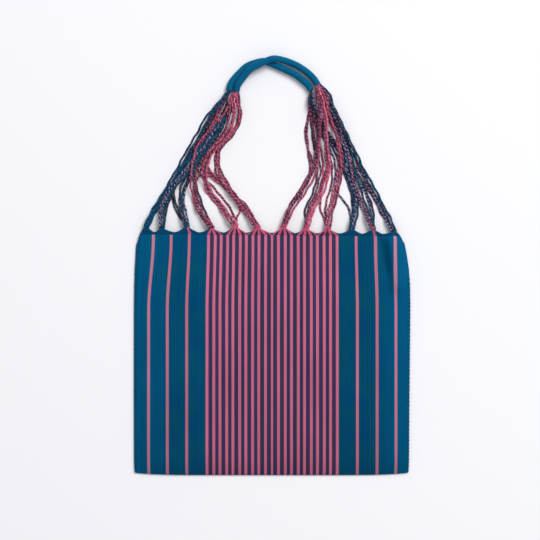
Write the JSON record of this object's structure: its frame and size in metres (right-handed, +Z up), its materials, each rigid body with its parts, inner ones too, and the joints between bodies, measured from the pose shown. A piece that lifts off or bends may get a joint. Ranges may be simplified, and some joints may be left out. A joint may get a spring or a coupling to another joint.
{
  "type": "striped woven tote bag",
  "caption": "Flat striped cotton bag, its mouth gathered into bunches of twisted cords that join in short wrapped handles, lying on its back.",
  "frame": {"origin": "under the middle of the whole bag as it lies, on the surface that carries it", "axes": "+Z up from the surface, +Y from the bottom fold to the handles, +X to the right as seen from above"},
  "size_m": [0.4004, 0.6082, 0.0202],
  "materials": {
    "striped_cloth": "matt, woven",
    "pink_blue_cord": "matt, twisted",
    "blue_wrap": "matt, wound"
  },
  "bodies": {
    "root": {"bag_body": "striped_cloth", "front_left_strap": "pink_blue_cord", "front_right_strap": "pink_blue_cord", "back_left_strap": "pink_blue_cord", "back_right_strap": "pink_blue_cord", "front_handle": "blue_wrap", "back_handle": "blue_wrap"}
  },
  "joints": []
}
